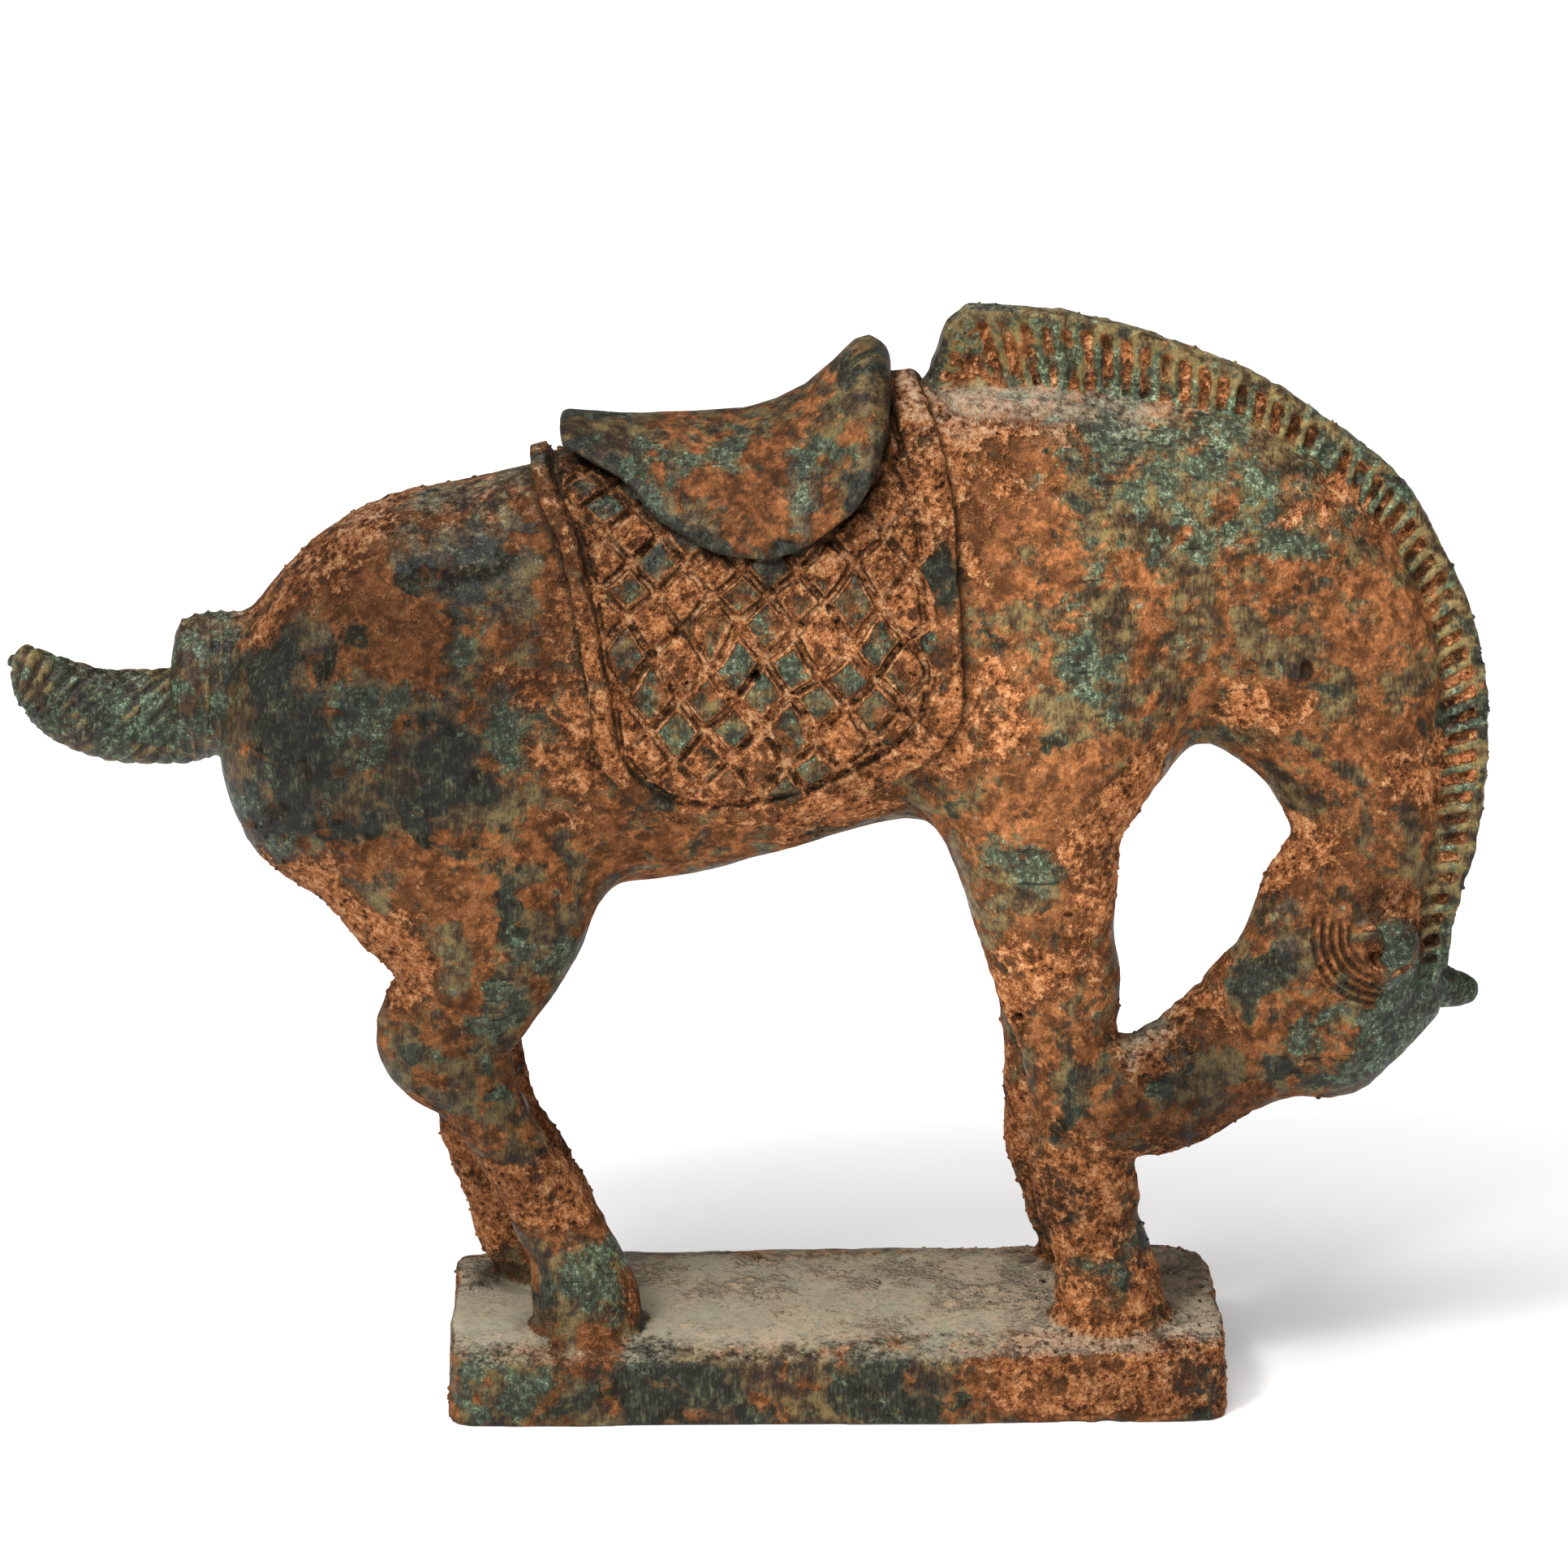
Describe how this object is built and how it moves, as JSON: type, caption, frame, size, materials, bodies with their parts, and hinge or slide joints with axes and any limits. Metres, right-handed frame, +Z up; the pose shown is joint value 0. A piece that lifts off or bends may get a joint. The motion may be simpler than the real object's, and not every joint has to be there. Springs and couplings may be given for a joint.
{
  "type": "cast bronze horse sculpture on a plinth",
  "caption": "Cast bronze figure of a saddled horse grazing with arched neck, standing on a plain oblong plinth.",
  "frame": {"origin": "middle of the plinth's flat underside", "axes": "+X towards the horse's head along the plinth, +Y to the horse's left side, +Z up"},
  "size_m": [0.4189, 0.0983, 0.316],
  "materials": {
    "bronze": "patinated bronze, rust brown with verdigris"
  },
  "bodies": {
    "root": {"horse_and_plinth": "bronze"}
  },
  "joints": []
}
